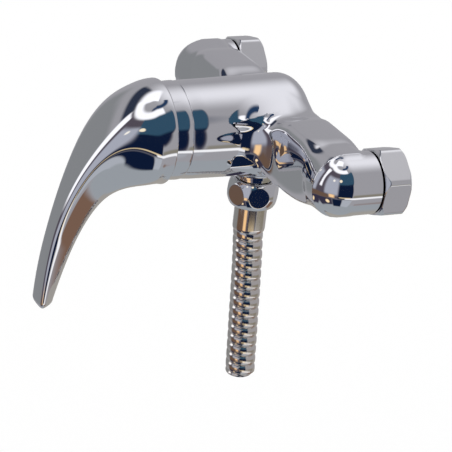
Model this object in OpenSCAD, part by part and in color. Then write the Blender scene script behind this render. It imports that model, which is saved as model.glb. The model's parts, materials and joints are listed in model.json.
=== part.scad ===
// Exposed single lever shower mixer for two wall unions, with a piece of shower hose below it.
// X runs along the wall, Y points into the wall and Z is up. The origin lies midway between the
// two inlets, on the plane where the union nuts end and the wall pipes begin.

/* [Body] */
// Distance between the centres of the two inlets
inlet_spacing = 150; // [148:0.5:152]
// Outer radius of the round barrel that holds the cartridge, at its joint with the cover ring
barrel_r = 23.2; // [23:0.1:23.8]
// How much the barrel widens towards the wall
barrel_flare = 0.9; // [0:0.1:1.2]
// Depth from the wall plane to the joint between body and cover ring
barrel_front = 77.2; // [76.8:0.2:77.6]
// Radius that rounds the back of the barrel
barrel_back_round = 11; // [9:0.5:13]
// Radius of each arm end and of its ball-shaped front
arm_r = 14.4; // [14:0.1:15]
// Depth of the front face of the two wings
wing_front = 41; // [39:0.5:43]
// Radius of the hollow between the barrel and the front of a wing
wing_fillet = 17; // [15:0.5:19]
// How much the middle of a wing rises above its ends
wing_lift = 1.5; // [0:0.1:2]

/* [Lever] */
// Radius of the hub behind its bevelled lip
hub_r = 24.8; // [24.6:0.1:25.2]
// Depth of the hub's rim
hub_rim = 85.5; // [85.2:0.1:85.8]
// Depth of the foremost point of the handle
lever_reach = 139.5; // [137:0.5:141]
// How far the handle hangs below the barrel's axis, without its rounded tip
lever_drop = 81.4; // [79:0.2:84]
// Half the width of the handle at its blade
blade_half_w = 8; // [7.4:0.1:8.6]

/* [Union nuts] */
// Width of a union nut across its flats
nut_af = 29.6; // [29:0.1:30]
// Length of a union nut
nut_len = 13.2; // [13:0.1:13.6]
// Inner radius of the three-quarter inch pipe thread
inlet_thread_r = 12.06; // [12:0.01:12.15]

/* [Hose] */
// Distance of the hose outlet from the wall plane
outlet_depth = 32.1; // [31.8:0.1:32.4]
// Outer radius of the hose nut's ball shape
hose_nut_r = 12.6; // [12.4:0.1:12.8]
// Outer radius of the hose
hose_r = 7.3; // [7.1:0.05:7.45]
// Inner radius of the rubber tube in the hose
hose_bore_r = 4.4; // [4.3:0.05:4.5]

/* [Hidden] */
$fn = 96;

// Small overlap that lets one cut run clean out of a face
eps = 0.2;
inlet_x = inlet_spacing / 2;
hot = -1;
cold = 1;

// Body: depths are distances from the wall plane, so they are used with a minus sign on Y
arm_end = 14;
arm_ball = 28;
barrel_back = 13;
wing_back = 13.4;
wing_half_h = 14.3;
wing_sides = 32;
valley_overlap = 1.5;

// Cartridge: its parts are stacked along Y from the pocket floor to the neck
pocket_r = 17.6;
pocket_floor = 53;
mouth_thread_r = 19.5;
mouth_thread_end = 70;
spigot_r = 21.5;
spigot_end = 75.6;
housing_r = 17.5;
housing_back = 55;
shoulder = 70.5;
neck_r = 13;
neck_front = 84;
chamber_r = 15.7;
chamber_front = 69.1;
guide_r = 11;
guide_back = 66.5;
slot_half_w = 4.1;
slot_half_h = 9;
disc_face = 60;
inlet_port = [5.6, -4.4];
inlet_port_r = 2.3;
outlet_port_z = 3.4;
outlet_port_r = 3.2;
carrier_r = 10.4;
ball_depth = 67;
ball_r = 2.9;

// Pivot of the lever, which is also the centre of the dome and of the hub's hollow
pivot = 80;
pin_r = 1.5;
dome_r = 23.6;
dome_inner_r = 21.8;
dome_front = 95;
hub_hollow_r = 24.3;
boss_r = 7.5;
boss_back = 89;
stem_half = 4;
stem_front = 102;
screw_depth = 99.5;
screw_r = 2.4;

// Handle: two curves in the middle plane, as [depth, height] control points
outer_curve = [[hub_rim, hub_r], [112.6, 25.6], [137.4, -23.1], [lever_reach, -lever_drop]];
inner_curve = [[hub_rim, -hub_r], [110, -19.3], [121.8, -45], [lever_reach - 8.4, -lever_drop]];
inner_lag = 1.6;
lip_bevel = 0.6;
lever_steps = 36;
lever_sides = 32;
tip_steps = 6;
tip_len = 4;

// Unions at the two inlets
bush_r = 9.55;
bush_bore_r = 6.8;
lip_depth = 10.6;
flange_r = 11.9;
flange_front = 10.5;
flange_back = 8.5;
thread_start = 6.2;
washer_hole_r = 7.6;

// Outlet below the body: heights are distances below the barrel's axis
boss_bottom = 25.4;
nipple_thread_r = 7.5;
hose_nut_top = 27.4;
hose_nut_bottom = 40.8;
hose_thread_r = 10.2;
sleeve_top = 38.6;
sleeve_bottom = 54.2;
sleeve_r = 7.9;

// Route of the hose's centre line below the outlet, from inside its sleeve to its free end
hose_route = [[0, 0, -41], [0, 0, -46], [0, 0, -51], [0, 0, -55], [0, 0.25, -59],
    [0, 0.65, -63], [0, 1.05, -68], [0, 1.4, -73], [0, 1.7, -78], [0, 2, -83], [0, 2.3, -88],
    [0, 2.6, -94], [0, 2.9, -100], [0, 3.25, -106], [0, 3.6, -112], [0, 3.9, -118],
    [0, 4.25, -125], [0, 4.7, -132.6]];
hose_sides = 12;

// Shared forms

// A solid turned about the Y axis from a profile of [radius, y] points
module turned(profile) rotate([-90, 0, 0]) rotate_extrude() polygon(profile);

// A round hole or bar along Y between two depths, the deeper one in front
module bar_y(r, front, back, at = [0, 0]) translate([at[0], -front, at[1]])
    rotate([-90, 0, 0]) cylinder(r = r, h = front - back);

// A round hole or bar along X
module bar_x(r, from, to, depth, z = 0) translate([min(from, to), -depth, z])
    rotate([0, 90, 0]) cylinder(r = r, h = abs(to - from));

// A ring along Y
module ring_y(outer, inner, front, back, at = [0, 0]) difference() {
    bar_y(outer, front, back, at);
    bar_y(inner, front + eps, back - eps, at);
}

// The places of the hose outlet and of one inlet
module at_outlet() translate([0, -outlet_depth, 0]) children();
module at_inlet(side) translate([side * inlet_x, 0, 0]) children();

// A prism with a regular six-sided section, given by its width across flats
module hex_prism(across, h) cylinder(r = across / sqrt(3), h = h, $fn = 6);

function arc(cx, cy, r, from, to, steps) = [for (i = [0:steps])
    let (a = from + (to - from) * i / steps) [cx + r * cos(a), cy + r * sin(a)]];
function smooth(v) = let (u = min(1, max(0, v))) u * u * (3 - 2 * u);
function signed_power(v, p) = sign(v) * pow(abs(v), p);
function bezier(p, t) = pow(1 - t, 3) * p[0] + 3 * pow(1 - t, 2) * t * p[1]
    + 3 * (1 - t) * t * t * p[2] + pow(t, 3) * p[3];

// Skin over a stack of rings that all have the same number of points. It is closed by a flat
// face at each end, or by joining the last ring to the first.
module skin(rings, joined = false) {
    sides = len(rings[0]);
    count = len(rings);
    faces = concat(
        joined ? [] : [[for (j = [0:sides - 1]) j],
            [for (j = [sides - 1:-1:0]) (count - 1) * sides + j]],
        [for (i = [0:count - (joined ? 1 : 2)], j = [0:sides - 1])
            let (next = (i + 1) % count, k = (j + 1) % sides)
            each [[i * sides + j, next * sides + j, next * sides + k],
                [i * sides + j, next * sides + k, i * sides + k]]]);
    polyhedron([for (ring = rings) each ring], faces);
}

// Body

module barrel_skin() turned(concat(
    [[0, -barrel_front], [barrel_r - 0.4, -barrel_front], [barrel_r, 0.4 - barrel_front]],
    arc(barrel_r + barrel_flare - barrel_back_round, -barrel_back - barrel_back_round,
        barrel_back_round, 0, 90, 12),
    [[0, -barrel_back]]));

module arm_skin() turned(concat(
    arc(0, -arm_ball, arm_r, -90, 0, 16),
    [[arm_r, -arm_end - 0.5], [arm_r - 0.5, -arm_end], [0, -arm_end]]));

// Depth of a wing's front: level along the wing, and hollowed out towards the barrel
function wing_front_at(x) = let (hollow_end = barrel_r + wing_fillet - valley_overlap,
        run = min(hollow_end - max(abs(x), barrel_r - 1.6), wing_fillet - 0.2))
    wing_front + (run > 0 ? wing_fillet - sqrt(pow(wing_fillet, 2) - run * run) : 0);

// How square the section is: the ends blend into barrel and ball, the middle is a rounded bar
function wing_square(x) = 2.2 + 1.9 * smooth((x - 24) / 12) - 1.9 * smooth((x - 54) / 21);

// How much squarer the lower front edge is, which gives it a soft keel
function wing_keel(x) = 2 * smooth((x - 26) / 10) * (1 - smooth((x - 50) / 25));

// Section of a wing across X, as a rounded shape with its own front, back and underside
function wing_section(x) = let (front = wing_front_at(x), back = wing_back + 1.2 * abs(x) / inlet_x,
        mid = (wing_front + wing_back) / 2, taper = 1 - 0.06 * smooth((abs(x) - 55) / 20),
        lift = wing_lift * smooth((abs(x) - 28) / 10) * (1 - smooth((abs(x) - 58) / 16)),
        drop = 3 * (1 - smooth((abs(x) - 40) / 38)))
    [for (j = [0:wing_sides - 1]) let (a = 360 * j / wing_sides, rear = cos(a) > 0,
            low = sin(a) < 0, n = rear ? 5 : wing_square(abs(x)) + (low ? wing_keel(abs(x)) : 0),
            c = signed_power(cos(a), 2 / n),
            s = signed_power(sin(a), 2 / n), half = wing_half_h * taper + (s < 0 ? drop : lift))
        [x, c * (rear ? mid - back : front - mid) - mid, s * half]];

module wing_skin() {
    steps = [for (i = [0:23]) inlet_x * (i < 12 ? 0.24 + 0.018 * i : 0.438 + 0.562 * (i - 11) / 12)];
    stations = concat([for (i = [len(steps) - 1:-1:0]) -steps[i]], [0], steps);
    skin([for (x = stations) wing_section(x)]);
}

module outlet_boss() at_outlet() translate([0, 0, -boss_bottom]) {
    cylinder(r = 10.5, h = 12);
    translate([0, 0, -0.4]) cylinder(r = 10.1, h = 2);
}

// Pocket for the cartridge, the thread that holds it and the seat of the cover ring
module cartridge_pocket() {
    bar_y(pocket_r, barrel_front + eps, pocket_floor);
    bar_y(mouth_thread_r, barrel_front + eps, mouth_thread_end);
    bar_y(spigot_r + 0.05, barrel_front + eps, spigot_end);
    for (side = [hot, cold]) {
        bar_y(inlet_port_r, pocket_floor + eps, 47, [side * inlet_port[0], inlet_port[1]]);
        bar_y(1.7, pocket_floor + eps, pocket_floor - 2.6, [side * 12, 7]);
    }
    bar_y(outlet_port_r, pocket_floor + eps, outlet_depth, [0, outlet_port_z]);
}

// Waterway from one inlet through the wing to its port in the pocket floor
module inlet_waterway(side) {
    at_inlet(side) bar_y(bush_r + 0.05, 25.2, arm_end - eps);
    at_inlet(side) bar_y(7.5, 33, 25);
    bar_x(8.6, side * inlet_x, side * 12, 27.3);
    bar_y(3.6, 50, 27, [side * 15, inlet_port[1]]);
    bar_x(2.2, side * 15, side * inlet_port[0], 48, inlet_port[1]);
}

// Waterway for the mixed water, down to the thread of the outlet nipple
module outlet_waterway() at_outlet() {
    translate([0, 0, -20]) cylinder(r = 5, h = 20 + outlet_port_z);
    translate([0, 0, -boss_bottom - 1]) cylinder(r = nipple_thread_r + 0.05, h = 11.6);
}

module mixer_body() color("silver") difference() {
    union() {
        barrel_skin();
        for (side = [hot, cold]) at_inlet(side) arm_skin();
        wing_skin();
        outlet_boss();
    }
    cartridge_pocket();
    for (side = [hot, cold]) inlet_waterway(side);
    outlet_waterway();
}

// Ring with a domed front that the hollow hub slides over
module cover_ring() color("gainsboro") turned(concat(
    [[20, -spigot_end], [spigot_r, -spigot_end], [spigot_r, -barrel_front],
        [barrel_r - 0.4, -barrel_front], [barrel_r, -barrel_front - 0.4], [barrel_r, -hub_rim]],
    arc(0, -pivot, dome_r, -asin((hub_rim - pivot) / dome_r), -asin((dome_front - pivot) / dome_r), 14),
    arc(0, -pivot, dome_inner_r, -asin((dome_front - pivot) / dome_inner_r), -6, 12),
    [[20, -pivot]]));

// Cartridge

// Threaded ring that presses on the shoulder of the housing, with six flats for a key
module cartridge_nut() color("goldenrod") difference() {
    union() {
        bar_y(mouth_thread_r - 0.1, 79.2, shoulder);
        translate([0, -82.5, 0]) rotate([-90, 0, 0]) hex_prism(30, 4);
    }
    bar_y(neck_r + 0.15, 82.5 + eps, shoulder - eps);
}

module cartridge_housing() color("white") turned([[chamber_r, -housing_back],
    [housing_r, -housing_back], [housing_r, 0.5 - shoulder], [housing_r - 0.5, -shoulder],
    [neck_r, -shoulder], [neck_r, 0.6 - neck_front], [neck_r - 0.6, -neck_front],
    [guide_r + 0.05, -neck_front], [guide_r + 0.05, -chamber_front], [chamber_r, -chamber_front]]);

// The three ports, which run in line through base, seals and fixed disc
module ports(front, back, extra = 0) {
    for (side = [hot, cold])
        bar_y(inlet_port_r + extra, front, back, [side * inlet_port[0], inlet_port[1]]);
    bar_y(outlet_port_r + extra, front, back, [0, outlet_port_z]);
}

module cartridge_base() color("whitesmoke") difference() {
    union() {
        bar_y(housing_r - 0.1, housing_back, pocket_floor);
        bar_y(chamber_r - 0.1, 56.5, housing_back - eps);
        for (side = [hot, cold]) bar_y(1.6, 54, pocket_floor - 2.4, [side * 12, 7]);
    }
    ports(57, pocket_floor - 1);
    ports(pocket_floor + 1, pocket_floor - eps, 0.8);
}

// One seal for each port, in the recesses of the base
module port_seals() color("dimgray") difference() {
    ports(pocket_floor + 1, pocket_floor, 0.78);
    ports(pocket_floor + 1 + eps, pocket_floor - eps);
}

module fixed_disc() color("ivory") difference() {
    bar_y(chamber_r - 0.2, disc_face, 56.5);
    ports(disc_face + eps, 56.5 - eps);
    for (side = [hot, cold]) bar_y(1.5, disc_face + eps, 56.5 - eps, [side * chamber_r, 0]);
}

// Disc whose hollow joins the two inlets to the outlet when it slides down
module moving_disc() color("ivory") difference() {
    bar_y(carrier_r - 0.1, 63.1, disc_face + 0.1);
    bar_y(6.6, disc_face + 1.6, disc_face, [0, 3]);
}

// Slide that carries the moving disc, with a socket for the ball of the spindle
module disc_carrier() color("steelblue") difference() {
    union() {
        intersection() {
            bar_y(carrier_r, 66.4, 63.1);
            translate([-9, -67, -12]) cube([18, 4.5, 24]);
        }
        bar_y(slot_half_w - 0.1, 69, 66);
    }
    bar_y(ball_r + 0.2, 69 + eps, 63.8);
}

// Round sleeve that turns in the neck, carries the pin and steers the disc with two rails
module spindle_guide() color("lightsteelblue") difference() {
    union() {
        bar_y(guide_r, neck_front, guide_back);
        bar_y(chamber_r - 0.3, 69, guide_back);
        for (side = [hot, cold]) translate([side * 10.8 - 1.7, -guide_back - eps, -6])
            cube([3.4, 3.1, 12]);
    }
    translate([-slot_half_w, -neck_front - eps, -slot_half_h])
        cube([2 * slot_half_w, neck_front - guide_back + 2 * eps, 2 * slot_half_h]);
    bar_x(pin_r, -guide_r - 1, guide_r + 1, pivot);
}

// Spindle: square stem for the handle, eye for the pin, and a ball that moves the disc
module spindle() color("goldenrod") difference() {
    union() {
        translate([-stem_half, -stem_front, -stem_half]) cube([2 * stem_half, 24.5, 2 * stem_half]);
        bar_y(1.9, 78, ball_depth);
        translate([0, -ball_depth, 0]) sphere(r = ball_r);
    }
    bar_x(pin_r + 0.06, -5, 5, pivot);
}

module spindle_pin() color("lightgray") bar_x(pin_r, -guide_r + 0.3, guide_r - 0.3, pivot);

// Handle

// Half the width of the handle along its length: round hub, then a narrow blade
function lever_half_w(t) = blade_half_w + (hub_r - blade_half_w) * (1 - smooth((t - 0.14) / 0.69));

// Section of the handle between its outer and inner curve, at t from 0 at the rim to 1 at the tip
function lever_section(t, grow = 1, shift = [0, 0]) = let (
        outer = bezier(outer_curve, t), inner = bezier(inner_curve, pow(t, inner_lag)),
        mid = (outer + inner) / 2 + shift, half = (inner - outer) / 2 * grow,
        n = 2 + 1.3 * smooth((t - 0.12) / 0.4), pinch = 0.78 * smooth((t - 0.15) / 0.5),
        w = lever_half_w(t) * grow)
    [for (j = [0:lever_sides - 1]) let (a = 360 * j / lever_sides,
            u = -signed_power(cos(a), 2 / n), v = -signed_power(sin(a), 2 / n))
        [v * w * (1 - pinch * (1 + u) / 2), -mid[0] - u * half[0], mid[1] + u * half[1]]];

// The rim ring is drawn in by the bevel, and the tip closes in a quarter round
module lever_skin() {
    rim = (hub_r - lip_bevel) / hub_r;
    lip_t = 0.02;
    body = [for (i = [0:lever_steps]) lever_section(lip_t + (1 - lip_t) * i / lever_steps)];
    tip = [for (i = [1:tip_steps]) let (a = 90 * i / (tip_steps + 0.5))
        lever_section(1, cos(a), [0.3 * sin(a), -tip_len * sin(a)])];
    skin(concat([lever_section(0, rim)], body, tip));
}

module lever() color("silver") difference() {
    union() {
        difference() {
            lever_skin();
            translate([0, -pivot, 0]) sphere(r = hub_hollow_r);
        }
        bar_y(boss_r, 108, boss_back);
    }
    translate([-stem_half - 0.05, -stem_front, -stem_half - 0.05])
        cube([2 * stem_half + 0.1, stem_front - boss_back + eps, 2 * stem_half + 0.1]);
    translate([0, -screw_depth, -32]) cylinder(r = screw_r + 0.1, h = 30);
}

// Screw that clamps the handle to the stem, with a socket for a small key
module lever_screw() color("dimgray") translate([0, -screw_depth, -stem_half - 6]) difference() {
    cylinder(r = screw_r, h = 6);
    translate([0, 0, -eps]) hex_prism(2.5, 2.5);
}

// Plug that closes the key hole on the underside of the hub
module screw_plug() color("slategray") translate([0, -screw_depth, -25])
    cylinder(r1 = screw_r - 0.3, r2 = screw_r, h = 4);

// Unions

// Nut that turns on the flange of its bush, with turned corners and an undercut before the thread
module union_nut(turn) difference() {
    intersection() {
        translate([0, -nut_len, 0]) rotate([-90, 0, 0]) rotate([0, 0, turn]) hex_prism(nut_af, nut_len);
        turned([[0, -nut_len], [14.9, -nut_len], [16.7, 1.7 - nut_len], [16.7, -1.5], [15.2, 0], [0, 0]]);
    }
    bar_y(bush_r + 0.05, nut_len + eps, lip_depth - eps);
    bar_y(inlet_thread_r + 0.54, lip_depth, thread_start);
    bar_y(inlet_thread_r, thread_start + eps, -eps);
    turned([[0, -0.6], [inlet_thread_r, -0.6], [inlet_thread_r + 0.8, eps], [0, eps]]);
}

// Bush screwed into the arm, with a flange for the nut and a six-sided socket for a key
module inlet_bush() difference() {
    union() {
        bar_y(bush_r, 25, flange_front - eps);
        bar_y(flange_r, flange_front, flange_back);
    }
    bar_y(bush_bore_r, 25 + eps, flange_back - eps);
    translate([0, -14, 0]) rotate([-90, 0, 0]) hex_prism(14, 7);
}

module inlet_washer() ring_y(flange_r, washer_hole_r, flange_back, flange_back - 2.2);

// Domed strainer whose rim is moulded into the washer and whose dome reaches into the bush
module inlet_strainer() turned(concat(
    [[washer_hole_r, -8.2], [washer_hole_r, -7.6], [5.6, -7.6]], arc(0, -8.6, 5.2, 0, -90, 8),
    arc(0, -8.6, 5.7, -90, -4, 8)));

module union_nut_hot() color("silver") at_inlet(hot) union_nut(13.4);
module union_nut_cold() color("silver") at_inlet(cold) union_nut(19.5);
module inlet_bush_hot() color("silver") at_inlet(hot) inlet_bush();
module inlet_bush_cold() color("silver") at_inlet(cold) inlet_bush();
module inlet_washer_hot() color("dimgray") at_inlet(hot) inlet_washer();
module inlet_washer_cold() color("dimgray") at_inlet(cold) inlet_washer();
module inlet_strainer_hot() color("lightgray") at_inlet(hot) inlet_strainer();
module inlet_strainer_cold() color("lightgray") at_inlet(cold) inlet_strainer();

// Outlet and hose

// Double nipple with a collar: the upper thread is in the body, the lower one in the hose nut
module outlet_nipple() color("silver") at_outlet() rotate_extrude() polygon([[5, -35.6],
    [hose_thread_r - 0.7, -35.6], [hose_thread_r, -34.9], [hose_thread_r, -28], [9.2, -27.6],
    [9.2, -boss_bottom - 0.4], [9, -boss_bottom - 0.4], [9, -boss_bottom - 0.9],
    [nipple_thread_r, -boss_bottom - 0.9], [nipple_thread_r, -15], [5, -15]]);

module outlet_seal() color("dimgray") at_outlet() translate([0, 0, -boss_bottom - 0.9])
    difference() {
        cylinder(r = 8.9, h = 0.5);
        translate([0, 0, -eps]) cylinder(r = nipple_thread_r + 0.05, h = 1);
    }

// Ball-shaped nut with six round flats
module hose_nut() color("silver") at_outlet() difference() {
    mid = (hose_nut_top + hose_nut_bottom) / 2;
    h = hose_nut_bottom - hose_nut_top;
    intersection() {
        translate([0, 0, -mid]) sphere(r = hose_nut_r);
        translate([0, 0, -hose_nut_bottom]) rotate([0, 0, 20]) hex_prism(23, h);
    }
    translate([0, 0, -sleeve_top]) cylinder(r = hose_thread_r + 0.1, h = h);
    translate([0, 0, -hose_nut_bottom - eps]) cylinder(r = sleeve_r + 0.1, h = h);
}

module hose_washer() color("dimgray") at_outlet() translate([0, 0, -37.2]) difference() {
    cylinder(r = 9.6, h = 1.6);
    translate([0, 0, -eps]) cylinder(r = 5, h = 2);
}

// Flanged tail whose shank grips the inside of the rubber tube
module hose_tail() color("goldenrod") at_outlet() rotate_extrude() polygon([[3.1, -37.2],
    [3.1, -55], [3.9, -55], [4.15, -53.5], [3.9, -53.4], [4.15, -51.5], [3.9, -51.4],
    [4.15, -49.5], [3.9, -49.4], [4.15, -47.5], [3.9, -47.4], [3.9, -sleeve_top],
    [9.9, -sleeve_top], [9.9, -37.2]]);

// Smooth sleeve pressed over the end of the hose
module hose_sleeve() color("silver") at_outlet() rotate_extrude() polygon([[4.2, -sleeve_top],
    [sleeve_r, -sleeve_top], [sleeve_r, 1.8 - sleeve_bottom], [sleeve_r - 0.3, -sleeve_bottom],
    [hose_r + 0.05, -sleeve_bottom], [hose_r + 0.05, -40.9], [4.2, -40.9]]);

// Ring of points round the hose's route at one of its points
function hose_ring(r, i) = let (last = len(hose_route) - 1,
        d = hose_route[min(i + 1, last)] - hose_route[max(i - 1, 0)],
        u = cross([0, 1, 0], d) / norm(cross([0, 1, 0], d)), w = cross(d, u) / norm(d))
    [for (j = [0:hose_sides - 1]) let (a = 360 * j / hose_sides)
        hose_route[i] + r * (cos(a) * u + sin(a) * w)];

// Tube swept along the hose's route, open through its bore
module hose_tube(outer, inner) at_outlet() skin(concat(
    [for (i = [0:len(hose_route) - 1]) hose_ring(outer, i)],
    [for (i = [len(hose_route) - 1:-1:0]) hose_ring(inner, i)]), joined = true);

module hose_spiral() color("darkgray") hose_tube(hose_r, 5.3);
module hose_inner_tube() color("dimgray") hose_tube(5, hose_bore_r);

mixer_body();
cover_ring();
cartridge_nut();
cartridge_housing();
cartridge_base();
port_seals();
fixed_disc();
moving_disc();
disc_carrier();
spindle_guide();
spindle();
spindle_pin();
lever();
lever_screw();
screw_plug();
union_nut_hot();
union_nut_cold();
inlet_bush_hot();
inlet_bush_cold();
inlet_washer_hot();
inlet_washer_cold();
inlet_strainer_hot();
inlet_strainer_cold();
outlet_nipple();
outlet_seal();
hose_nut();
hose_washer();
hose_tail();
hose_sleeve();
hose_spiral();
hose_inner_tube();
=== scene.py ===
import json
import math

import bmesh
import bpy
import numpy as np
from mathutils import Matrix, Vector


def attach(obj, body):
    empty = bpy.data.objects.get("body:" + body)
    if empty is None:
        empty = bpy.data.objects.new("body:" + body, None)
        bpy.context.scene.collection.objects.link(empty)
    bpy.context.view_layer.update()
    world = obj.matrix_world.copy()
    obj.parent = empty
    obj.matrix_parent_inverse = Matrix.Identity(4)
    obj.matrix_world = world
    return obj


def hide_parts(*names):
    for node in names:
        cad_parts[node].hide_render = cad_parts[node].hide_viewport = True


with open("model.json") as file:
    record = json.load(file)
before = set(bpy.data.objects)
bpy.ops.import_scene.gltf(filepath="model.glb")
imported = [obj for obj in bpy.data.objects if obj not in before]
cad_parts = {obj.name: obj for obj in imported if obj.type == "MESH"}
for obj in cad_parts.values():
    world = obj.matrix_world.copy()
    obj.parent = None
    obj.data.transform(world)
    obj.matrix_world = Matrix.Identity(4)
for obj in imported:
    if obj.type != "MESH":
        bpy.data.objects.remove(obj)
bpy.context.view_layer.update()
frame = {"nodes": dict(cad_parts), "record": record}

MM = 0.001
scene = bpy.context.scene

# ---------------------------------------------------------------- camera
azimuth, elevation, roll = (math.radians(v) for v in (62.72, 23.29, 6.53))
back = Vector((math.sin(azimuth) * math.cos(elevation), -math.cos(azimuth) * math.cos(elevation), math.sin(elevation)))
side = Vector((math.cos(azimuth), math.sin(azimuth), 0))
top = back.cross(side)
right = side * math.cos(roll) + top * math.sin(roll)
up = top * math.cos(roll) - side * math.sin(roll)
camera_data = bpy.data.cameras.new("photo_camera")
camera = bpy.data.objects.new("photo_camera", camera_data)
scene.collection.objects.link(camera)
place = back * 1.08285 + right * -0.04544 + up * -0.04948
camera.matrix_world = Matrix.Translation(place) @ Matrix((right, up, back)).transposed().to_4x4()
camera_data.sensor_width = 36
camera_data.lens = 36 * 2255.8 / 452
camera_data.shift_x = (226 - 226.07) / 452
camera_data.shift_y = (222.87 - 226) / 452
camera_data.clip_start = 0.05
scene.camera = camera

# ---------------------------------------------------------------- sizes, as in the part's source (mm)
INLET_X, BARREL_R, BARREL_FLARE, BARREL_FRONT, BARREL_BACK, BACK_ROUND = 75.0, 23.2, 0.9, 77.2, 13.0, 11.0
ARM_R, ARM_BALL, ARM_END = 14.4, 28.0, 14.0
WING_FRONT, WING_BACK, WING_HALF_H, WING_FILLET, WING_LIFT = 41.0, 13.4, 14.3, 17.0, 1.5
HUB_R, HUB_RIM, LEVER_REACH, LEVER_DROP, BLADE_W, TIP = 24.8, 85.5, 139.5, 81.4, 8.0, 4.0
NUT_AF, NUT_LEN, THREAD_R = 29.6, 13.2, 12.06
OUTLET, HOSE_NUT_R, HOSE_R, SLEEVE_R = 32.1, 12.6, 7.3, 7.9
HOSE_NUT_TOP, HOSE_NUT_BOTTOM = -27.4, -40.8
PIVOT = 80.0
HOSE_ROUTE = [(0, y - OUTLET, z) for y, z in [(0, -41), (0, -46), (0, -51), (0, -55), (0.25, -59),
    (0.65, -63), (1.05, -68), (1.4, -73), (1.7, -78), (2, -83), (2.3, -88), (2.6, -94), (2.9, -100),
    (3.25, -106), (3.6, -112), (3.9, -118), (4.25, -125), (4.7, -132.6)]]


def smooth(v):
    u = np.clip(v, 0.0, 1.0)
    return u * u * (3 - 2 * u)


def signed_power(v, p):
    return np.sign(v) * np.abs(v) ** p


# ---------------------------------------------------------------- mesh helpers
def new_object(name, points, faces, normals=None):
    mesh = bpy.data.meshes.new(name)
    mesh.from_pydata((np.asarray(points) * MM).tolist(), [], [list(f) for f in faces])
    mesh.update()
    mesh.polygons.foreach_set("use_smooth", [True] * len(mesh.polygons))
    if normals is not None:
        mesh.normals_split_custom_set_from_vertices([tuple(n) for n in normals])
    obj = bpy.data.objects.new(name, mesh)
    scene.collection.objects.link(obj)
    return obj


class Build:
    """Collects sheets of points into one mesh. Sheets share no points, so the edge between two is sharp."""

    def __init__(self):
        self.points, self.faces, self.count = [], [], 0

    def sheet(self, rows, around=True, flip=False):
        """rows: array [i, j, 3] of points; around closes each row on itself."""
        rows = np.asarray(rows, float)
        n, m = rows.shape[:2]
        index = self.count + np.arange(n * m).reshape(n, m)
        if around:
            index = np.concatenate([index, index[:, :1]], axis=1)
        a, b, c, d = index[:-1, :-1], index[1:, :-1], index[1:, 1:], index[:-1, 1:]
        quads = np.stack([a, d, c, b] if flip else [a, b, c, d], -1).reshape(-1, 4)
        self.points.append(rows.reshape(-1, 3))
        self.faces.extend(quads.tolist())
        self.count += n * m

    def disc(self, ring, centre, flip=False):
        ring = np.asarray(ring, float)
        k = len(ring)
        self.points.append(np.vstack([ring, [centre]]))
        for j in range(k):
            f = [self.count + j, self.count + (j + 1) % k, self.count + k]
            self.faces.append(f[::-1] if flip else f)
        self.count += k + 1

    def raw(self, points, faces):
        self.points.append(np.asarray(points, float))
        self.faces.extend([[i + self.count for i in f] for f in faces])
        self.count += len(points)

    def make(self, name):
        obj = new_object(name, np.vstack(self.points), self.faces)
        b = bmesh.new()
        b.from_mesh(obj.data)
        bmesh.ops.dissolve_degenerate(b, dist=1e-7, edges=b.edges)
        b.to_mesh(obj.data)
        b.free()
        return obj


def densify(line, step):
    out = [line[0]]
    for p, q in zip(line[:-1], line[1:]):
        k = max(1, int(math.ceil(np.linalg.norm(q - p) / step)))
        out += [p + (q - p) * i / k for i in range(1, k + 1)]
    return np.array(out)


def revolve_y(build, line, at=(0, 0), sides=192, flip=False):
    """Turns a line of [radius, depth] about the Y axis; depth is a distance in front of the wall plane."""
    a = np.arange(sides) * 2 * math.pi / sides
    rows = [np.stack([at[0] + r * np.cos(a), np.full(sides, -d), at[1] + r * np.sin(a)], -1) for r, d in line]
    build.sheet(rows, flip=flip)


def revolve_z(build, line, at=(0, -OUTLET), sides=160, flip=False):
    """Turns a line of [radius, z] about a vertical axis."""
    a = np.arange(sides) * 2 * math.pi / sides
    rows = [np.stack([at[0] + r * np.cos(a), at[1] + r * np.sin(a), np.full(sides, z)], -1) for r, z in line]
    build.sheet(rows, flip=flip)


# ---------------------------------------------------------------- cast body as one smooth field
def round_union(a, b, k):
    """Union of two distance fields with a round fillet of about radius k in the hollow between them."""
    return np.maximum(k, np.minimum(a, b)) - np.hypot(np.maximum(k - a, 0), np.maximum(k - b, 0))


def wing_level(x, depth, z):
    ax = np.sqrt(x * x + 0.01)
    end = BARREL_R + WING_FILLET - 0.6
    run = np.minimum(end - np.maximum(ax, BARREL_R - 1.6), WING_FILLET - 0.2)
    front = WING_FRONT + np.where(run > 0, WING_FILLET - np.sqrt(np.maximum(WING_FILLET ** 2 - run * run, 0)), 0)
    rear = WING_BACK + 1.2 * ax / 75
    mid = (WING_FRONT + WING_BACK) / 2
    taper = 1 - 0.06 * smooth((ax - 55) / 20)
    lift = WING_LIFT * smooth((ax - 28) / 10) * (1 - smooth((ax - 58) / 16))
    drop = 3.0 * (1 - smooth((ax - 40) / 38))
    u, v = depth - mid, z
    a = np.where(u > 0, front - mid, mid - rear)
    b = WING_HALF_H * taper + np.where(v < 0, drop, lift)
    square = 2.2 + 1.9 * smooth((ax - 24) / 12) - 1.9 * smooth((ax - 54) / 21)
    keel = 2 * smooth((ax - 26) / 10) * (1 - smooth((ax - 50) / 25))
    n = np.where(u > 0, square + np.where(v < 0, keel, 0), 5.0)
    p, q = np.abs(u) / a + 1e-9, np.abs(v) / b + 1e-9
    m = np.maximum(p, q)
    return m * ((p / m) ** n + (q / m) ** n) ** (1 / n) - 1, n, p, q, a, b


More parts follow.
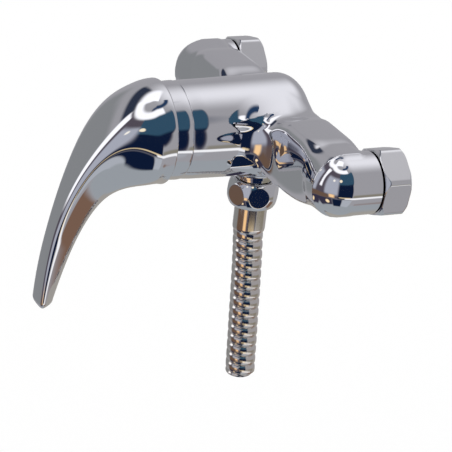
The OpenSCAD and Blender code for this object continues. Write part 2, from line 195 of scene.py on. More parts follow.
def wing_field(x, depth, z):
    g, n, p, q, a, b = wing_level(x, depth, z)
    h = 0.05
    gx = (wing_level(x + h, depth, z)[0] - wing_level(x - h, depth, z)[0]) / (2 * h)
    m = g + 1
    gp, gq = (p / m) ** (n - 1) / a, (q / m) ** (n - 1) / b
    d = g / np.sqrt(gp * gp + gq * gq + gx * gx)
    # Away from the surface that estimate is too short, so the plain distance to the front bounds it
    ax, centre = np.abs(x), BARREL_R + WING_FILLET - 0.6
    hollow = WING_FILLET - np.hypot(ax - centre, depth - WING_FRONT - WING_FILLET)
    ahead = np.maximum(hollow, depth - (WING_FRONT + WING_FILLET - 2.6))
    d = np.maximum(d, np.where(ax < centre, ahead, depth - WING_FRONT))
    return np.maximum(d, ax - INLET_X)


def barrel_radius(depth):
    """The barrel widens towards the wall, and is drawn in a little at its joint."""
    length = BARREL_FRONT - 0.4 - BARREL_BACK - BACK_ROUND
    return BARREL_R + BARREL_FLARE * np.clip((BARREL_FRONT - 0.4 - depth) / length, 0, 1) - 0.34 * smooth((depth - 69.5) / 9.5)


def body_field(P):
    x, depth, z = P[:, 0], -P[:, 1], P[:, 2]
    r = np.hypot(x, z)
    q1, q2 = r - (barrel_radius(depth) - BACK_ROUND), (BARREL_BACK + BACK_ROUND) - depth
    barrel = np.hypot(np.maximum(q1, 0), np.maximum(q2, 0)) + np.minimum(np.maximum(q1, q2), 0) - BACK_ROUND
    ra = np.hypot(np.abs(x) - INLET_X, z)
    arm = np.where(depth > ARM_BALL, np.hypot(ra, depth - ARM_BALL), ra) - ARM_R
    wing = wing_field(x, depth, z)
    boss = np.maximum(np.hypot(x, depth - OUTLET) - 10.4, z)
    front = smooth((depth - 18) / 14)
    fillet = 3 * (1 - front) + front * (0.6 + 7.4 * smooth((np.abs(z) - 5) / 7))
    arm_fillet = 0.5 + 4.5 * smooth((depth - 16) / 6)
    return round_union(round_union(round_union(barrel, wing, fillet), arm, arm_fillet), boss, 1.5)


def gradient(field, P, h=0.04):
    g = np.empty_like(P)
    for i in range(3):
        d = np.zeros(3)
        d[i] = h
        g[:, i] = (field(P + d) - field(P - d)) / (2 * h)
    return g


def surface_net(field, low, high, step):
    """Quads over the zero level of a field, one point for each grid cell that it crosses."""
    axes = [np.arange(low[i], high[i] + step, step) for i in range(3)]
    shape = [len(a) for a in axes]
    G = np.empty(shape)
    yy, zz = np.meshgrid(axes[1], axes[2], indexing="ij")
    for i, x in enumerate(axes[0]):
        P = np.stack([np.full(yy.size, x), yy.ravel(), zz.ravel()], -1)
        G[i] = field(P).reshape(yy.shape)
    inside = G < 0
    corners = [(i, j, k) for i in (0, 1) for j in (0, 1) for k in (0, 1)]

    def part(A, c):
        return A[tuple(slice(c[i], shape[i] - 1 + c[i]) for i in range(3))]

    total = sum(part(inside, c).astype(np.int8) for c in corners)
    active = (total > 0) & (total < 8)
    index = np.full(active.shape, -1)
    index[active] = np.arange(active.sum())
    cell = np.argwhere(active)
    acc, cnt = np.zeros((len(cell), 3)), np.zeros(len(cell))
    for c in corners:
        for axis in range(3):
            if c[axis]:
                continue
            e = list(c)
            e[axis] = 1
            va, vb = part(G, c)[active], part(G, tuple(e))[active]
            cross = (va < 0) != (vb < 0)
            t = np.where(cross, va / np.where(cross, va - vb, 1), 0)
            p = np.tile(np.array(c, float), (len(cell), 1))
            p[:, axis] += t
            acc += p * cross[:, None]
            cnt += cross
    P = np.array(low) + (cell + acc / cnt[:, None]) * step
    quads = []
    for axis in range(3):
        o = [i for i in range(3) if i != axis]
        sl_a, sl_b = [slice(1, shape[i] - 1) for i in range(3)], [slice(1, shape[i] - 1) for i in range(3)]
        sl_a[axis], sl_b[axis] = slice(0, shape[axis] - 1), slice(1, shape[axis])
        A, B = inside[tuple(sl_a)], inside[tuple(sl_b)]
        cells = np.argwhere(A != B)
        starts = A[tuple(cells.T)]
        base = cells.copy()
        for i in o:
            base[:, i] += 1
        ring = []
        for du, dv in ((0, 0), (-1, 0), (-1, -1), (0, -1)):
            k = base.copy()
            k[:, o[0]] += du
            k[:, o[1]] += dv
            ring.append(index[tuple(k.T)])
        ring = np.stack(ring, -1)
        outward = starts if axis != 1 else ~starts
        ring[~outward] = ring[~outward][:, ::-1]
        quads.append(ring)
    return P, np.vstack(quads)


def project(field, P, rounds=4):
    for _ in range(rounds):
        f, g = field(P), gradient(field, P)
        step = f / np.maximum((g * g).sum(1), 1e-6)
        P = P - np.clip(step, -0.5, 0.5)[:, None] * g
    return P


def with_parts(faces):
    """Faces with their points and edges, always in the same order."""
    return list(dict.fromkeys(v for f in faces for v in f.verts)) \
        + list(dict.fromkeys(e for f in faces for e in f.edges)) + faces


def cut_loop(b, point, normal, keep):
    """Cuts the mesh by a plane among the faces that keep() accepts, and returns the longest cut's points in order."""
    faces = [f for f in b.faces if keep(f.calc_center_median())]
    cut = bmesh.ops.bisect_plane(b, geom=with_parts(faces), dist=1e-6, plane_co=point, plane_no=normal, clear_outer=True)
    around = {}
    for e in cut["geom_cut"]:
        if isinstance(e, bmesh.types.BMEdge) and e.is_boundary:
            for v, w in (e.verts, reversed(e.verts)):
                around.setdefault(v, []).append(w)
    loops = []
    while around:
        v = next(iter(around))
        loop = []
        while v is not None:
            loop.append(v)
            v = next((w for w in around.pop(v) if w in around), None)
        loops.append(loop)
    return np.array([w.co for w in max(loops, key=len)]) / MM


def oriented(loop, centre):
    """The loop's points as they run counterclockwise seen from the front."""
    c = np.array(centre)
    x, z = loop[:, 0] - c[0], loop[:, 2] - c[1]
    area = (x * np.roll(z, -1) - np.roll(x, -1) * z).sum()
    return loop if area > 0 else loop[::-1]


def shrink(loop, centre, radius, depth):
    out = loop.copy()
    d = loop[:, [0, 2]] - np.array(centre)
    r = np.linalg.norm(d, axis=1, keepdims=True)
    out[:, [0, 2]] = np.array(centre) + d / r * radius
    out[:, 1] = -depth
    return out


def make_body():
    step = 0.8
    P, quads = surface_net(body_field, (-91.3, -79.4, -27.3), (91.3, -9.9, 24.9), step)
    P = project(body_field, P)
    mesh = bpy.data.meshes.new("body_cast")
    mesh.from_pydata((P * MM).tolist(), [], quads.tolist())
    b = bmesh.new()
    b.from_mesh(mesh)
    caps = Build()
    front = cut_loop(b, (0, -76.9 * MM, 0), (0, -1, 0), lambda c: c.y < -70 * MM)
    front = oriented(front, (0, 0))
    rings = [shrink(front, (0, 0), r, d) for r, d in
        [(BARREL_R - 0.30, 76.9), (BARREL_R - 0.36, 77.08), (BARREL_R - 0.54, 77.18), (BARREL_R - 0.8, 77.2), (20.5, 77.2)]]
    rings[0] = front
    caps.sheet(rings[:4])
    caps.sheet(rings[3:])
    for s in (-1, 1):
        end = cut_loop(b, (s * 75 * MM, -14.2 * MM, 0), (0, 1, 0), lambda c: c.y > -22 * MM and c.x * s > 59.5 * MM)
        end = oriented(end, (s * 75, 0))
        rings = [end, shrink(end, (s * 75, 0), ARM_R - 0.15, 14.12), shrink(end, (s * 75, 0), ARM_R - 0.5, 14.0),
            shrink(end, (s * 75, 0), 9.0, 14.0), shrink(end, (s * 75, 0), 9.0, 20)]
        caps.sheet(rings[:3], flip=True)
        caps.sheet(rings[2:4], flip=True)
        caps.sheet(rings[3:], flip=True)
    boss = [f for f in b.faces if f.calc_center_median().z < -24 * MM and abs(f.calc_center_median().x) < 14 * MM]
    bmesh.ops.bisect_plane(b, geom=with_parts(boss), dist=1e-6, plane_co=(0, 0, -25.2 * MM), plane_no=(0, 0, -1), clear_outer=True)
    bmesh.ops.triangulate(b, faces=[f for f in b.faces if len(f.verts) > 4])
    b.to_mesh(mesh)
    b.free()
    revolve_z(caps, [(10.4, -25.2), (10.25, -25.35), (10.0, -25.4)], flip=False)
    revolve_z(caps, [(10.0, -25.4), (7, -25.4)], flip=False)
    n = len(mesh.vertices)
    co = np.empty(n * 3)
    mesh.vertices.foreach_get("co", co)
    P = co.reshape(-1, 3) / MM
    N = gradient(body_field, P)
    N /= np.linalg.norm(N, axis=1, keepdims=True)
    faces = [list(p.vertices) for p in mesh.polygons]
    bpy.data.meshes.remove(mesh)
    capped = caps.make("caps")
    cap_points = np.array([v.co for v in capped.data.vertices]) / MM
    cap_normals = np.array([v.normal for v in capped.data.vertices])
    faces += [[i + n for i in p.vertices] for p in capped.data.polygons]
    bpy.data.objects.remove(capped)
    return new_object("body_cast", np.vstack([P, cap_points]), faces, np.vstack([N, cap_normals]))


# ---------------------------------------------------------------- handle
OUTER = np.array([(HUB_RIM, HUB_R), (112.6, 25.6), (137.4, -23.1), (LEVER_REACH, -LEVER_DROP)], float)
INNER = np.array([(HUB_RIM, -HUB_R), (110, -19.3), (121.8, -45), (LEVER_REACH - 8.4, -LEVER_DROP)], float)


def bezier(p, t):
    return (1 - t) ** 3 * p[0] + 3 * (1 - t) ** 2 * t * p[1] + 3 * (1 - t) * t * t * p[2] + t ** 3 * p[3]


def lever_ring(t, angles, grow=1.0, shift=(0, 0)):
    outer, inner = bezier(OUTER, t), bezier(INNER, t ** 1.6)
    mid, half = (outer + inner) / 2 + np.array(shift), (inner - outer) / 2 * grow
    n = 2 + 1.3 * smooth((t - 0.12) / 0.4)
    pinch = 0.78 * smooth((t - 0.15) / 0.5)
    w = (BLADE_W + (HUB_R - BLADE_W) * (1 - smooth((t - 0.14) / 0.69))) * grow
    u, v = -signed_power(np.cos(angles), 2 / n), -signed_power(np.sin(angles), 2 / n)
    return np.stack([v * w * (1 - pinch * (1 + u) / 2), -mid[0] - u * half[0], mid[1] + u * half[1]], -1)


def make_lever():
    b = Build()
    sides = 208
    base = np.arange(sides) * 2 * math.pi / sides
    steps = 220
    rows = []
    bevel = [(0.0, 0.6), (0.003, 0.36), (0.0065, 0.17), (0.011, 0.05), (0.016, 0.01), (0.02, 0.0)]
    for t, inset in bevel:
        rows.append(lever_ring(t, base, (HUB_R - inset) / HUB_R))
    for i in range(1, steps + 1):
        rows.append(lever_ring(0.02 + 0.98 * i / steps, base))
    for i in range(1, 15):
        a = math.radians(90 * i / 14.5)
        rows.append(lever_ring(1.0, base, math.cos(a), (0.3 * math.sin(a), -TIP * math.sin(a))))
    b.sheet(rows, flip=True)
    b.disc(rows[-1], rows[-1].mean(0), flip=True)
    rim_r = math.sqrt(24.3 ** 2 - (HUB_RIM - PIVOT) ** 2)
    revolve_y(b, [(HUB_R - 0.6, HUB_RIM), (rim_r + 0.02, HUB_RIM)], flip=True)
    inside = []
    for k in range(25):
        a = math.asin((HUB_RIM - PIVOT) / 24.3) + k / 24 * (math.pi / 2 - 0.25 - math.asin((HUB_RIM - PIVOT) / 24.3))
        inside.append((24.3 * math.cos(a), PIVOT + 24.3 * math.sin(a)))
    revolve_y(b, inside, flip=True)
    revolve_y(b, [(7.5, 104), (7.5, 89.3), (7.2, 89)], flip=True)
    revolve_y(b, [(7.2, 89), (4, 89)], flip=True)
    return b.make("lever_cast")


# ---------------------------------------------------------------- cover ring
def make_ring():
    b = Build()
    line = [(21.5, 77.2), (22.7, 77.2), (22.98, 77.27), (23.14, 77.45), (23.2, 77.8), (23.21, 78.6), (23.2, 79.4),
        (23.16, 80.3), (23.09, 81.4), (23.0, 82.7), (22.9, 84.1), (22.8, 85.5)]
    revolve_y(b, line[:2], flip=False)
    revolve_y(b, line[1:], flip=False)
    dome = []
    for k in range(21):
        a = math.asin(5.5 / 23.6) + k / 20 * (math.asin(15 / 23.6) - math.asin(5.5 / 23.6))
        dome.append((23.6 * math.cos(a), PIVOT + 23.6 * math.sin(a)))
    revolve_y(b, [line[-1], dome[0]], flip=False)
    revolve_y(b, dome, flip=False)
    revolve_y(b, [dome[-1], (15.8, 95), (21.7, 82), (20, 80), (20, 77.2)], flip=False)
    return b.make("ring_cover")


# ---------------------------------------------------------------- nuts
def soft_min(a, b, k):
    h = np.clip(0.5 + 0.5 * (b - a) / k, 0, 1)
    return b + (a - b) * h - k * h * (1 - h)


def hex_radius(angle, af, corner):
    """Radius of a hexagon with slightly rounded corners."""
    a = np.abs((angle + math.pi / 6) % (math.pi / 3) - math.pi / 6)
    r = af / 2 / np.cos(a)
    return r - corner * np.maximum(0, 1 - (math.pi / 6 - a) / 0.09) ** 2


def make_union_nut(name, side, turn):
    """Six-sided nut with turned corners; the flat faces lie across the angle that turn gives."""
    b = Build()
    sides = 360
    a = np.arange(sides) * 2 * math.pi / sides
    flat = a - math.radians(turn) - math.pi / 6
    hexagon = hex_radius(flat, NUT_AF, 0.35)

    def limit(d):
        return min(14.9 + (NUT_LEN - d) * 1.8 / 1.7, 15.2 + d, 16.7)

    rows, depths = [], np.concatenate([[0.0, 0.04, 0.12, 0.24], np.arange(0.4, NUT_LEN - 0.3, 0.2), [NUT_LEN - 0.24, NUT_LEN - 0.12, NUT_LEN - 0.04, NUT_LEN]])
    for d in depths:
        edge = 0.28 * max(0, 1 - min(d, NUT_LEN - d) / 0.28) ** 2
        r = soft_min(hexagon, np.full(sides, limit(d)), 0.22) - edge
        rows.append(np.stack([side * 75 + r * np.cos(a), np.full(sides, -d), r * np.sin(a)], -1))
    b.sheet(rows, flip=True)

    def annulus(row, radius, depth, flip):
        r = np.stack([side * 75 + radius * np.cos(a), np.full(sides, -depth), radius * np.sin(a)], -1)
        b.sheet([row, r], flip=flip)

    annulus(rows[-1], 9.95, NUT_LEN, True)
    annulus(rows[0], THREAD_R + 0.7, 0, False)
    at = (side * 75, 0)
    revolve_y(b, [(9.95, NUT_LEN), (9.7, NUT_LEN - 0.1), (9.6, NUT_LEN - 0.35), (9.6, 10.6)], at, flip=True)
    revolve_y(b, [(THREAD_R + 0.7, 0), (THREAD_R + 0.05, 0.62)], at, flip=False)
    # Thread: a fine wave on the wall, wound once per pitch
    rows = []
    for i in range(61):
        d = 0.62 + (6.2 - 0.62) * i / 60
        wave = 0.09 * np.cos(2 * math.pi * d / 1.814 + a)
        rows.append(np.stack([at[0] + (THREAD_R - 0.04 + wave) * np.cos(a), np.full(sides, -d), (THREAD_R - 0.04 + wave) * np.sin(a)], -1))
    b.sheet(rows, flip=False)
    revolve_y(b, [(THREAD_R + 0.05, 6.2), (12.6, 6.3), (12.6, 10.6)], at, flip=False)
    revolve_y(b, [(12.6, 10.6), (9.6, 10.6)], at, flip=False)
    return b.make(name)


def make_hose_nut():
    b = Build()
    sides = 360
    a = np.arange(sides) * 2 * math.pi / sides
    zs = np.linspace(HOSE_NUT_TOP, HOSE_NUT_BOTTOM, 68)
    mid = (HOSE_NUT_TOP + HOSE_NUT_BOTTOM) / 2
    hexagon = hex_radius(a - math.radians(20) - math.pi / 6, 23, 0.2)
    rows = []
    for z in zs:
        ball = math.sqrt(HOSE_NUT_R ** 2 - (z - mid) ** 2)
        near = min(z - HOSE_NUT_BOTTOM, HOSE_NUT_TOP - z)
        edge = 0.35 * max(0, 1 - near / 0.35) ** 2
        r = soft_min(hexagon, np.full(sides, ball), 0.12) - edge
        rows.append(np.stack([r * np.cos(a), -OUTLET + r * np.sin(a), np.full(sides, z)], -1))
    b.sheet(rows, flip=False)

    def to_circle(row, radius, z, flip):
        r = np.stack([radius * np.cos(a), -OUTLET + radius * np.sin(a), np.full(sides, z)], -1)
        b.sheet([row, r], flip=flip)

    to_circle(rows[0], 10.3, HOSE_NUT_TOP, True)
    to_circle(rows[-1], 8.15, HOSE_NUT_BOTTOM, False)
    revolve_z(b, [(10.3, HOSE_NUT_TOP), (10.3, -38.6), (8.0, -38.6), (8.0, -40.7), (8.15, -40.8)], flip=True)
    return b.make("hose_nut_ball")


def make_sleeve():
    b = Build()
    outer = [(7.9, -38.6), (7.9, -41), (7.9, -52.4), (7.88, -52.9), (7.82, -53.4), (7.74, -53.8), (7.64, -54.05), (7.5, -54.2)]
    revolve_z(b, outer, flip=False)
    revolve_z(b, [(7.5, -54.2), (7.36, -54.1), (7.36, -50)], flip=False)
    revolve_z(b, [(4.2, -38.6), (7.9, -38.6)], flip=False)
    return b.make("hose_sleeve_smooth")


# ---------------------------------------------------------------- hose
def hose_frames(step):
    """Points and cross directions along the hose's route, close together."""
    P = np.array(HOSE_ROUTE, float)
    s = np.concatenate([[0], np.cumsum(np.linalg.norm(np.diff(P, axis=0), axis=1))])
    out = np.arange(0, s[-1] + 1e-6, step)
    out = np.append(out, s[-1]) if s[-1] - out[-1] > 1e-3 else out
    m = np.gradient(P, s, axis=0)
    i = np.clip(np.searchsorted(s, out, side="right") - 1, 0, len(s) - 2)
    h = (s[i + 1] - s[i])[:, None]
    t = ((out - s[i]) / (s[i + 1] - s[i]))[:, None]
    C = (2 * t ** 3 - 3 * t ** 2 + 1) * P[i] + (t ** 3 - 2 * t ** 2 + t) * h * m[i] \
        + (-2 * t ** 3 + 3 * t ** 2) * P[i + 1] + (t ** 3 - t ** 2) * h * m[i + 1]
    d = np.gradient(C, out, axis=0)
    d /= np.linalg.norm(d, axis=1, keepdims=True)
    u = np.cross(np.tile([0, 1.0, 0], (len(out), 1)), d)
    u /= np.linalg.norm(u, axis=1, keepdims=True)
    w = np.cross(d, u)
    return out, C, u, w


PITCH = 5.2


def winding(s, a, top):
    """Radius of the metal strip: a round-shouldered band for each turn, with a narrow groove between turns."""
    phase = ((s + PITCH * a / (2 * math.pi)) / PITCH) % 1.0
    e = np.minimum(phase, 1 - phase) * PITCH
    band = top - 0.62 * np.exp(-(e / 0.62) ** 2) - 0.16 * (1 - smooth(e / 2.2))
    return band


def make_hose():
    b = Build()
    step = 0.2
    s, C, u, w = hose_frames(step)
    sides = 144
    a = np.arange(sides) * 2 * math.pi / sides
    R = winding(s[:, None], a[None, :], HOSE_R)
    fade = smooth((s - 11.5) / 2.5)[:, None]
    tail = smooth((s[-1] - s) / 1.2)[:, None]
    R = np.minimum(R, 7.2) * (1 - fade) + R * fade
    R = R - 0.5 * (1 - tail) ** 2
    rows = C[:, None] + R[..., None] * (np.cos(a)[None, :, None] * u[:, None] + np.sin(a)[None, :, None] * w[:, None])
    b.sheet(rows, flip=True)
    inner = C[::-1, None][:40] + 5.3 * (np.cos(a)[None, :, None] * u[::-1][:40, None] + np.sin(a)[None, :, None] * w[::-1][:40, None])
    b.sheet([rows[-1], inner[0]], flip=True)
    b.sheet(inner, flip=True)
    return b.make("hose_winding")


def make_inner_tube():
    b = Build()
    s, C, u, w = hose_frames(1.0)
    a = np.arange(64) * 2 * math.pi / 64

    def ring(r, i):
        return C[i] + r * (np.cos(a)[:, None] * u[i] + np.sin(a)[:, None] * w[i])

    last = len(s) - 1
    b.sheet([ring(5.0, i) for i in range(2, last + 1)], flip=True)
    b.sheet([ring(5.0, last), ring(4.4, last)], flip=True)
    b.sheet([ring(4.4, i) for i in range(last, 2, -1)], flip=True)
    return b.make("hose_rubber_tube")


# ---------------------------------------------------------------- materials
def principled(name, color, metallic=0.0, roughness=0.3):
    m = bpy.data.materials.new(name)
    m.use_nodes = True
    p = m.node_tree.nodes["Principled BSDF"]
    p.inputs["Base Color"].default_value = (*color, 1)
    p.inputs["Metallic"].default_value = metallic
    p.inputs["Roughness"].default_value = roughness
    return m, p


def add_bump(m, p, scale, strength, distance, detail=3.0, rough=None, stretch=(1, 1, 1)):
    """Fine unevenness in object space: bump, and where asked a small change of roughness."""
    n, l = m.node_tree.nodes, m.node_tree.links
    coord = n.new("ShaderNodeTexCoord")
    mapping = n.new("ShaderNodeMapping")
    mapping.inputs["Scale"].default_value = stretch
    noise = n.new("ShaderNodeTexNoise")
    noise.inputs["Scale"].default_value = scale
    noise.inputs["Detail"].default_value = detail
    l.new(coord.outputs["Object"], mapping.inputs["Vector"])
    l.new(mapping.outputs["Vector"], noise.inputs["Vector"])
    bump = n.new("ShaderNodeBump")
    bump.inputs["Strength"].default_value = strength
    bump.inputs["Distance"].default_value = distance
    l.new(noise.outputs["Fac"], bump.inputs["Height"])
    l.new(bump.outputs["Normal"], p.inputs["Normal"])
    if rough:
        ramp = n.new("ShaderNodeMapRange")
        ramp.inputs["To Min"].default_value = rough[0]
        ramp.inputs["To Max"].default_value = rough[1]
        l.new(noise.outputs["Fac"], ramp.inputs["Value"])
        l.new(ramp.outputs["Result"], p.inputs["Roughness"])
    return noise


def chrome(name, color, rough=(0.02, 0.05), wave=0.02):
    m, p = principled(name, color, 1.0, rough[0])
    add_bump(m, p, 38, wave, 0.0004, detail=1.0, rough=rough)
    return m


CHROME = chrome("chrome_plate", (0.80, 0.80, 0.82))
CHROME_NUT = chrome("chrome_turned", (0.80, 0.80, 0.81), (0.03, 0.07))
CHROME_HOSE = chrome("chrome_strip", (0.80, 0.76, 0.72), (0.08, 0.14), 0.06)
BRASS, bp = principled("brass_turned", (0.72, 0.54, 0.27), 1.0, 0.3)
add_bump(BRASS, bp, 300, 0.05, 0.0002, rough=(0.22, 0.36), stretch=(1, 0.05, 1))
STEEL, sp = principled("steel_plain", (0.62, 0.62, 0.62), 1.0, 0.3)
add_bump(STEEL, sp, 400, 0.05, 0.0002, rough=(0.24, 0.36))
RUBBER, rp = principled("rubber_black", (0.035, 0.035, 0.036), 0.0, 0.6)
add_bump(RUBBER, rp, 900, 0.15, 0.0002, rough=(0.5, 0.7))
WHITE, wp = principled("plastic_white", (0.82, 0.82, 0.80), 0.0, 0.45)
add_bump(WHITE, wp, 500, 0.06, 0.0002, rough=(0.38, 0.5))
BLUE, up_ = principled("plastic_blue", (0.2, 0.34, 0.5), 0.0, 0.45)
add_bump(BLUE, up_, 500, 0.06, 0.0002, rough=(0.38, 0.5))
GREY, gp_ = principled("plastic_grey", (0.45, 0.47, 0.5), 0.0, 0.45)
add_bump(GREY, gp_, 500, 0.06, 0.0002, rough=(0.38, 0.5))
CERAMIC, cp_ = principled("ceramic", (0.9, 0.89, 0.86), 0.0, 0.15)
add_bump(CERAMIC, cp_, 700, 0.03, 0.0001, rough=(0.12, 0.2))

by_slot = {"chrome_body": CHROME, "chrome_trim": CHROME, "chrome_lever": CHROME, "chrome_nut": CHROME_NUT,
    "chrome_hose": CHROME_HOSE, "brass": BRASS, "steel": STEEL, "white_plastic": WHITE, "blue_plastic": BLUE,
    "grey_plastic": GREY, "ceramic": CERAMIC, "black_rubber": RUBBER}
slots = {s["node"]: s["material_slot"] for s in frame["record"]["subparts"]}
for name, node in frame["nodes"].items():
    node.data.materials.clear()
    node.data.materials.append(by_slot[slots[name]])


def dress(obj, material, body, slot, *nodes):
    obj.data.materials.append(material)
    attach(obj, body)
    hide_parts(*nodes)
    return obj


dress(make_body(), CHROME, "mixer", "chrome_body", "mixer_body")
dress(make_lever(), CHROME, "handle", "chrome_lever", "lever")
dress(make_ring(), CHROME, "mixer", "chrome_trim", "cover_ring")
dress(make_union_nut("nut_hot_hex", -1, 13.4), CHROME_NUT, "nut_hot", "chrome_nut", "union_nut_hot")
dress(make_union_nut("nut_cold_hex", 1, 19.5), CHROME_NUT, "nut_cold", "chrome_nut", "union_nut_cold")
dress(make_hose_nut(), CHROME_NUT, "mixer", "chrome_nut", "hose_nut")
sleeve = dress(make_sleeve(), CHROME_HOSE, "mixer", "chrome_hose", "hose_sleeve")
tube = dress(make_inner_tube(), RUBBER, "mixer", "black_rubber", "hose_inner_tube")
hose = dress(make_hose(), CHROME_HOSE, "mixer", "chrome_hose", "hose_spiral")
route = [[c * MM for c in p] for p in HOSE_ROUTE]
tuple(route[0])

# Studio that the chrome reflects, by direction: azimuth 0 looks along +Y at the front, in degrees
class Studio:
    def __init__(self, tree, base):
        self.nodes, self.links = tree.nodes, tree.links
        coordinate = self.nodes.new("ShaderNodeTexCoord")
        self.direction = self.nodes.new("ShaderNodeVectorMath")
        self.direction.operation = "NORMALIZE"
        self.links.new(coordinate.outputs["Generated"], self.direction.inputs[0])
        parts = self.nodes.new("ShaderNodeSeparateXYZ")
        self.links.new(self.direction.outputs[0], parts.inputs[0])
        front = self.math("MULTIPLY", parts.outputs["Y"], -1)
        degrees = 180 / math.pi
        self.azimuth = self.math("MULTIPLY", self.math("ARCTAN2", parts.outputs["X"], front), degrees)
        self.elevation = self.math("MULTIPLY", self.math("ARCSINE", parts.outputs["Z"]), degrees)
        self.color = self.nodes.new("ShaderNodeRGB").outputs[0]
        self.color.default_value = (*base, 1)

    def math(self, operation, a, b=None):
        node = self.nodes.new("ShaderNodeMath")
        node.operation = operation
        for socket, value in zip(node.inputs, (a, b)):
            if isinstance(value, (int, float)):
                socket.default_value = value
            elif value is not None:
                self.links.new(value, socket)
        return node.outputs[0]

    def step(self, value, at, soft, rising=True):
        node = self.nodes.new("ShaderNodeMapRange")
        node.interpolation_type = "SMOOTHSTEP"
        node.inputs["From Min"].default_value = at - soft
        node.inputs["From Max"].default_value = at + soft
        node.inputs["To Min"].default_value = 0 if rising else 1
        node.inputs["To Max"].default_value = 1 if rising else 0
        self.links.new(value, node.inputs["Value"])
        return node.outputs["Result"]

    def paint(self, mask, color):
        mix = self.nodes.new("ShaderNodeMix")
        mix.data_type = "RGBA"
        self.links.new(mask, mix.inputs[0])
        self.links.new(self.color, mix.inputs[6])
        mix.inputs[7].default_value = (*color, 1)
        self.color = mix.outputs[2]

    def panel(self, left, right, side_soft, low, high, edge_soft, color, strength=1.0, slant=0.0):
        """A field between two azimuths and two elevations; slant moves its right edge for each degree above 15."""
        across = self.azimuth
        if slant:
            rise = self.math("MAXIMUM", self.math("SUBTRACT", self.elevation, 15), 0)
            shift = self.math("MULTIPLY", rise, slant)
            right_edge = self.step(self.math("SUBTRACT", across, shift), right, side_soft, False)
        else:
            right_edge = self.step(across, right, side_soft, False)
        mask = self.math("MULTIPLY", self.step(across, left, side_soft), right_edge)
        mask = self.math("MULTIPLY", mask, self.step(self.elevation, low, edge_soft))
        mask = self.math("MULTIPLY", mask, self.step(self.elevation, high, edge_soft, False))
        self.paint(self.math("MULTIPLY", mask, strength), color)

    def lamp(self, azimuth, elevation, radius, soft, color, strength=1.0):
        """A round field about one direction."""
        a, e = math.radians(azimuth), math.radians(elevation)
        dot = self.nodes.new("ShaderNodeVectorMath")
        dot.operation = "DOT_PRODUCT"
        dot.inputs[1].default_value = (math.sin(a) * math.cos(e), -math.cos(a) * math.cos(e), math.sin(e))
        self.links.new(self.direction.outputs[0], dot.inputs[0])
        angle = self.math("MULTIPLY", self.math("ARCCOSINE", self.math("MINIMUM", dot.outputs["Value"], 1.0)), 180 / math.pi)
        self.paint(self.math("MULTIPLY", self.step(angle, radius, soft, False), strength), color)


world = bpy.data.worlds.new("studio")
scene.world = world
world.use_nodes = True
tree = world.node_tree
studio = Studio(tree, (0.39, 0.385, 0.41))
WHITE_LIGHT, NAVY = (1.25, 1.25, 1.3), (0.005, 0.012, 0.04)
studio.lamp(-155, 60, 22, 20, (1.0, 1.0, 1.05), 0.9)
studio.panel(-122, -36, 8, 62, 100, 5, WHITE_LIGHT)
studio.panel(-86, 62, 8, -31, 24, 5, (0.27, 0.28, 0.29))
studio.panel(-92, -30, 5, 38, 58, 4, (0.03, 0.04, 0.07))
studio.panel(-200, 200, 1, -100, -52, 3, (0.37, 0.40, 0.43))
studio.panel(112, 200, 5, -26, -18, 3, (0.27, 0.25, 0.20))
studio.panel(-200, -100, 8, -60, -24, 4, (0.40, 0.38, 0.35))
studio.panel(-26, 109, 2, -33, 58, 3, (0.10, 0.085, 0.11), slant=0.42)
studio.panel(55, 109, 2, -33, 30, 4, NAVY, slant=0.42)
studio.panel(52, 109, 2, 20, 60, 4, (0.035, 0.09, 0.15), slant=0.42)
studio.panel(4, 54, 6, -20, 40, 6, (0.46, 0.48, 0.56))
studio.panel(34, 74, 4, -64, -34, 3, NAVY)
studio.panel(74, 112, 4, -62, -34, 3, (0.48, 0.51, 0.56))
studio.panel(-34, 34, 6, -58, -33, 3, (0.045, 0.04, 0.07))
studio.panel(136, 186, 5, -50, -31, 3, (0.22, 0.13, 0.09))
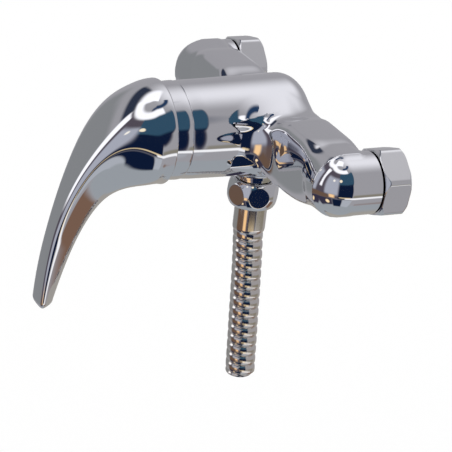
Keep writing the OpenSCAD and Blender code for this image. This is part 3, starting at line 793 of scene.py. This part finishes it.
studio.panel(82, 152, 4, -32, -26.5, 1.5, (1.1, 1.1, 1.12))
studio.panel(-30, 18, 6, -34, -21, 2, (0.16, 0.10, 0.07))
studio.panel(22, 42, 5, -30, -19, 2, (1.15, 0.75, 0.38))
studio.panel(60, 102, 5, -28.5, -25, 1, (1.0, 0.8, 0.48), 0.8)
studio.lamp(12, -46, 6, 2, (1.2, 0.92, 0.55))
studio.lamp(60, 33, 5, 1.5, (1.15, 1.0, 0.75))
studio.lamp(32, 30, 4, 1.5, (1.1, 1.05, 0.95))
studio.panel(-50, 104, 4, 60, 73, 3, WHITE_LIGHT)
studio.panel(60, 190, 6, 74, 81, 2, (0.02, 0.05, 0.12))
studio.panel(-30, -9, 3, -3, 54, 3, WHITE_LIGHT)
light = tree.nodes.new("ShaderNodeLightPath")
seen = tree.nodes.new("ShaderNodeMix")
seen.data_type = "RGBA"
seen.inputs[6].default_value = (1, 1, 1, 1)
tree.links.new(light.outputs["Is Glossy Ray"], seen.inputs[0])
tree.links.new(studio.color, seen.inputs[7])
tree.links.new(seen.outputs[2], tree.nodes["Background"].inputs["Color"])

# Pale floor: it keeps the object's shadow, and lets the chrome see the studio below
floor = Build()
floor.sheet([[(-6000, -6000, -420), (6000, -6000, -420)], [(-6000, 6000, -420), (6000, 6000, -420)]], around=False, flip=True)
floor = floor.make("floor")
FLOOR, pale = principled("floor_pale", (1.0, 1.0, 1.0), 0.0, 1.0)
pale.inputs["Specular IOR Level"].default_value = 0.0
floor_nodes, floor_links = FLOOR.node_tree.nodes, FLOOR.node_tree.links
light = floor_nodes.new("ShaderNodeLightPath")
clear = floor_nodes.new("ShaderNodeBsdfTransparent")
either = floor_nodes.new("ShaderNodeMixShader")
floor_links.new(light.outputs["Is Glossy Ray"], either.inputs[0])
floor_links.new(pale.outputs[0], either.inputs[1])
floor_links.new(clear.outputs[0], either.inputs[2])
floor_links.new(either.outputs[0], floor_nodes["Material Output"].inputs["Surface"])
floor.data.materials.append(FLOOR)

scene.view_settings.view_transform = "Standard"
